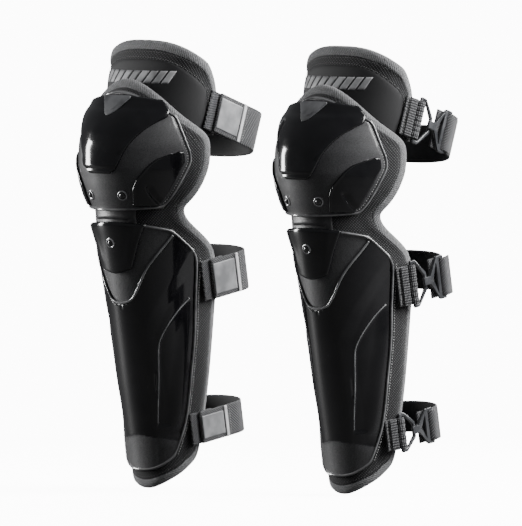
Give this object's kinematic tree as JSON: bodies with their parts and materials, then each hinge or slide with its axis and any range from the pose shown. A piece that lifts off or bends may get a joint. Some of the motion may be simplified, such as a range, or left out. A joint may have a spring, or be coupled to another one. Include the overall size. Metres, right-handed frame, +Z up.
{
  "type": "knee and shin guards",
  "caption": "Pair of hinged knee and shin guards: moulded shells on foam liners with riveted link plate, thigh flap and buckled elastic straps.",
  "frame": {"origin": "on the first guard's leg axis, level with the lowest edge of its liner", "axes": "+Z up the leg; the shells face -Y; the second guard stands at +X"},
  "size_m": [0.4112, 0.2005, 0.447],
  "materials": {
    "gloss_shell": "moulded, high gloss",
    "matte_shell": "moulded, fine matte grain",
    "buckle_plastic": "moulded, satin gloss",
    "liner_mesh": "knitted mesh over foam",
    "flap_fabric": "smooth fabric over foam",
    "edge_binding": "woven grey edge tape",
    "webbing": "ribbed elastic webbing",
    "loop_pile": "looped pile",
    "hook_tab": "moulded hook tab",
    "stitching": "light thread",
    "rivet": "black coated, domed",
    "badge": "brushed-looking grey plate"
  },
  "bodies": {
    "a_shin": {"a_shin_liner": "liner_mesh", "a_shin_shell": "matte_shell", "a_shin_tongue": "gloss_shell", "a_shin_rivet": "rivet", "a_calf_webbing_tab": "webbing", "a_calf_loop_stub": "loop_pile", "a_ankle_webbing_tab": "webbing", "a_ankle_loop_stub": "loop_pile"},
    "a_knee": {"a_knee_liner": "liner_mesh", "a_knee_cup": "matte_shell", "a_knee_dome": "gloss_shell", "a_left_wing": "gloss_shell", "a_right_wing": "gloss_shell", "a_cup_badge": "badge", "a_left_knee_rivet": "rivet", "a_right_knee_rivet": "rivet"},
    "a_link": {"a_link_plate": "matte_shell"},
    "a_thigh": {"a_thigh_flap": "flap_fabric", "a_thigh_webbing_tab": "webbing", "a_thigh_loop_stub": "loop_pile"},
    "a_thigh_frame": {"a_thigh_buckle_frame": "buckle_plastic"},
    "a_thigh_band": {"a_thigh_hook_clip": "buckle_plastic", "a_thigh_elastic_strap": "webbing"},
    "a_calf_frame": {"a_calf_buckle_frame": "buckle_plastic"},
    "a_calf_band": {"a_calf_hook_clip": "buckle_plastic", "a_calf_elastic_strap": "webbing"},
    "a_ankle_frame": {"a_ankle_buckle_frame": "buckle_plastic"},
    "a_ankle_band": {"a_ankle_hook_clip": "buckle_plastic", "a_ankle_elastic_strap": "webbing"},
    "b_shin": {"b_shin_liner": "liner_mesh", "b_shin_shell": "matte_shell", "b_shin_tongue": "gloss_shell", "b_shin_rivet": "rivet", "b_calf_webbing_tab": "webbing", "b_calf_loop_stub": "loop_pile", "b_ankle_webbing_tab": "webbing", "b_ankle_loop_stub": "loop_pile"},
    "b_knee": {"b_knee_liner": "liner_mesh", "b_knee_cup": "matte_shell", "b_knee_dome": "gloss_shell", "b_left_wing": "gloss_shell", "b_right_wing": "gloss_shell", "b_cup_badge": "badge", "b_left_knee_rivet": "rivet", "b_right_knee_rivet": "rivet"},
    "b_link": {"b_link_plate": "matte_shell"},
    "b_thigh": {"b_thigh_flap": "flap_fabric", "b_thigh_webbing_tab": "webbing", "b_thigh_loop_stub": "loop_pile"},
    "b_thigh_frame": {"b_thigh_buckle_frame": "buckle_plastic"},
    "b_thigh_band": {"b_thigh_hook_clip": "buckle_plastic", "b_thigh_elastic_strap": "webbing"},
    "b_calf_frame": {"b_calf_buckle_frame": "buckle_plastic"},
    "b_calf_band": {"b_calf_hook_clip": "buckle_plastic", "b_calf_elastic_strap": "webbing"},
    "b_ankle_frame": {"b_ankle_buckle_frame": "buckle_plastic"},
    "b_ankle_band": {"b_ankle_hook_clip": "buckle_plastic", "b_ankle_elastic_strap": "webbing"}
  },
  "joints": [
    {"name": "a_knee_flex", "type": "hinge", "parent": "a_shin", "child": "a_knee", "pos_m": [0, 0, 0.278], "axis": [-1, 0, 0], "range_deg": [0, 30], "stiffness_Nm_per_rad": 3},
    {"name": "a_link_follow", "type": "hinge", "parent": "a_shin", "child": "a_link", "pos_m": [0, 0, 0.278], "axis": [-1, 0, 0], "range_deg": [-1, 16]},
    {"name": "a_thigh_flex", "type": "hinge", "parent": "a_knee", "child": "a_thigh", "pos_m": [0, 0, 0.35], "axis": [-1, 0, 0], "range_deg": [-1, 13]},
    {"name": "a_thigh_frame_swing", "type": "hinge", "parent": "a_thigh", "child": "a_thigh_frame", "pos_m": [-0.06782, 0.01158, 0.37449], "axis": [0, 0.3256, 0.9455], "range_deg": [0, 20]},
    {"name": "a_thigh_band_open", "type": "hinge", "parent": "a_thigh_frame", "child": "a_thigh_band", "pos_m": [-0.06782, 0.02955, 0.3683], "axis": [0, 0.3256, 0.9455], "range_deg": [0, 90]},
    {"name": "a_calf_frame_swing", "type": "hinge", "parent": "a_shin", "child": "a_calf_frame", "pos_m": [-0.05902, 0.01452, 0.20974], "axis": [0, -0.1736, 0.9848], "range_deg": [0, 20]},
    {"name": "a_calf_band_open", "type": "hinge", "parent": "a_calf_frame", "child": "a_calf_band", "pos_m": [-0.05902, 0.03323, 0.21304], "axis": [0, -0.1736, 0.9848], "range_deg": [0, 50]},
    {"name": "a_ankle_frame_swing", "type": "hinge", "parent": "a_shin", "child": "a_ankle_frame", "pos_m": [-0.04619, 0.01152, 0.06078], "axis": [0, -0.1736, 0.9848], "range_deg": [0, 20]},
    {"name": "a_ankle_band_open", "type": "hinge", "parent": "a_ankle_frame", "child": "a_ankle_band", "pos_m": [-0.04619, 0.03023, 0.06408], "axis": [0, -0.1736, 0.9848], "range_deg": [0, 70]},
    {"name": "b_knee_flex", "type": "hinge", "parent": "b_shin", "child": "b_knee", "pos_m": [0.264, 0, 0.278], "axis": [-1, 0, 0], "range_deg": [0, 30], "stiffness_Nm_per_rad": 3},
    {"name": "b_link_follow", "type": "hinge", "parent": "b_shin", "child": "b_link", "pos_m": [0.264, 0, 0.278], "axis": [-1, 0, 0], "range_deg": [-1, 16]},
    {"name": "b_thigh_flex", "type": "hinge", "parent": "b_knee", "child": "b_thigh", "pos_m": [0.264, 0, 0.35], "axis": [-1, 0, 0], "range_deg": [-1, 13]},
    {"name": "b_thigh_frame_swing", "type": "hinge", "parent": "b_thigh", "child": "b_thigh_frame", "pos_m": [0.33182, 0.01158, 0.37449], "axis": [0, -0.3256, -0.9455], "range_deg": [0, 20]},
    {"name": "b_thigh_band_open", "type": "hinge", "parent": "b_thigh_frame", "child": "b_thigh_band", "pos_m": [0.33182, 0.02955, 0.3683], "axis": [0, -0.3256, -0.9455], "range_deg": [0, 90]},
    {"name": "b_calf_frame_swing", "type": "hinge", "parent": "b_shin", "child": "b_calf_frame", "pos_m": [0.32302, 0.01452, 0.20974], "axis": [0, 0.1736, -0.9848], "range_deg": [0, 20]},
    {"name": "b_calf_band_open", "type": "hinge", "parent": "b_calf_frame", "child": "b_calf_band", "pos_m": [0.32302, 0.03323, 0.21304], "axis": [0, 0.1736, -0.9848], "range_deg": [0, 50]},
    {"name": "b_ankle_frame_swing", "type": "hinge", "parent": "b_shin", "child": "b_ankle_frame", "pos_m": [0.31019, 0.01152, 0.06078], "axis": [0, 0.1736, -0.9848], "range_deg": [0, 20]},
    {"name": "b_ankle_band_open", "type": "hinge", "parent": "b_ankle_frame", "child": "b_ankle_band", "pos_m": [0.31019, 0.03023, 0.06408], "axis": [0, 0.1736, -0.9848], "range_deg": [0, 70]},
    {"name": "b_set_apart", "type": "slide", "parent": "a_shin", "child": "b_shin", "axis": [1, 0, 0], "range_m": [0, 0.12]}
  ],
  "couplings": [
    {"joint": "a_link_follow", "follows": "a_knee_flex", "ratio": 0.5},
    {"joint": "a_thigh_flex", "follows": "a_knee_flex", "ratio": 0.4},
    {"joint": "b_link_follow", "follows": "b_knee_flex", "ratio": 0.5},
    {"joint": "b_thigh_flex", "follows": "b_knee_flex", "ratio": 0.4}
  ]
}
